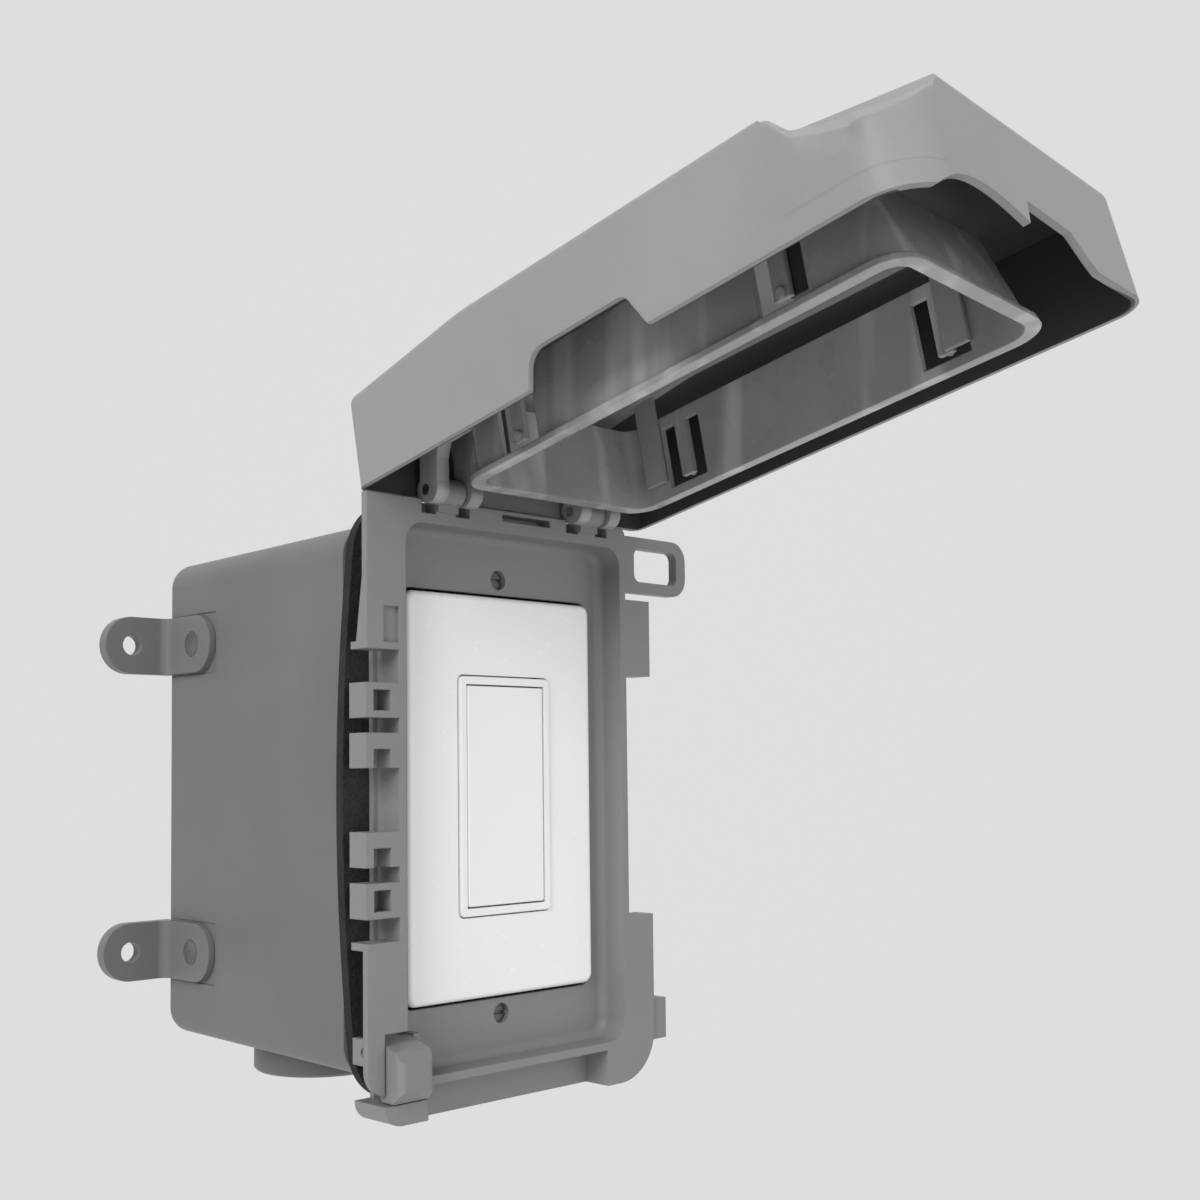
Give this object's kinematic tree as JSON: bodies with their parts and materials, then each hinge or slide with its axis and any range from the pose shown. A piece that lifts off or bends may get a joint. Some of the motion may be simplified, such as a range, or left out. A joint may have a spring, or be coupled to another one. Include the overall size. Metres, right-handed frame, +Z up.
{
  "type": "wall switch",
  "caption": "Weatherproof wall switch: deep surface box with feet and a conduit hub, hinged slide-out hood that covers a paddle switch, and a padlock loop.",
  "frame": {"origin": "on the wall plane, midway between the four feet's screw holes", "axes": "+X to the right as seen from the front, +Y into the wall, +Z up; the front faces -Y"},
  "size_m": [0.1458, 0.2813, 0.2311],
  "materials": {
    "box_plastic": "satin",
    "foot_plastic": "satin",
    "foam": "matte",
    "cover_plastic": "satin",
    "hood_plastic": "satin",
    "frame_plastic": "satin",
    "latch_plastic": "satin",
    "screw_steel": "satin",
    "strap_steel": "satin",
    "pin_steel": "satin",
    "white_gloss": "gloss",
    "white_satin": "satin",
    "body_plastic": "satin",
    "contact_brass": "satin",
    "ground_green": "satin"
  },
  "bodies": {
    "base": {"back_box": "box_plastic", "foot_top_left": "foot_plastic", "foot_top_right": "foot_plastic", "foot_bottom_left": "foot_plastic", "foot_bottom_right": "foot_plastic", "foot_screws": "screw_steel", "cover_gasket": "foam", "cover_base": "cover_plastic", "cover_screws": "screw_steel", "latch_pin": "pin_steel", "wall_plate": "white_gloss", "plate_frame": "white_satin", "plate_screws": "screw_steel", "switch_strap": "strap_steel", "device_screws": "screw_steel", "ground_screw": "ground_green", "switch_frame": "white_gloss", "switch_body": "body_plastic", "line_terminal": "contact_brass", "load_terminal": "contact_brass", "terminal_screws": "contact_brass", "fixed_contacts": "contact_brass"},
    "inner_lid": {"lid_frame": "frame_plastic", "hinge_pins": "pin_steel"},
    "hood": {"lid_hood": "hood_plastic"},
    "paddle": {"rocker_paddle": "white_gloss"},
    "contact": {"contact_lever": "contact_brass"},
    "latch": {"corner_latch": "latch_plastic"}
  },
  "joints": [
    {"name": "lid_hinge", "type": "hinge", "parent": "base", "child": "inner_lid", "pos_m": [0, -0.1119, 0.0835], "axis": [1, 0, 0], "range_deg": [0, 101.3]},
    {"name": "hood_slide", "type": "slide", "parent": "inner_lid", "child": "hood", "axis": [0, 0.1959, 0.9806], "range_m": [0, 0.015]},
    {"name": "paddle_tilt", "type": "hinge", "parent": "base", "child": "paddle", "pos_m": [0, -0.1001, 0], "axis": [1, 0, 0], "range_deg": [-3.5, 3.5]},
    {"name": "contact_tilt", "type": "hinge", "parent": "base", "child": "contact", "pos_m": [0, -0.0805, 0], "axis": [1, 0, 0], "range_deg": [-8.5, 8.5]},
    {"name": "latch_swing", "type": "hinge", "parent": "base", "child": "latch", "pos_m": [0, -0.1043, -0.0665], "axis": [1, 0, 0], "range_deg": [-25, 0]}
  ],
  "couplings": [
    {"joint": "contact_tilt", "follows": "paddle_tilt", "ratio": -2}
  ]
}
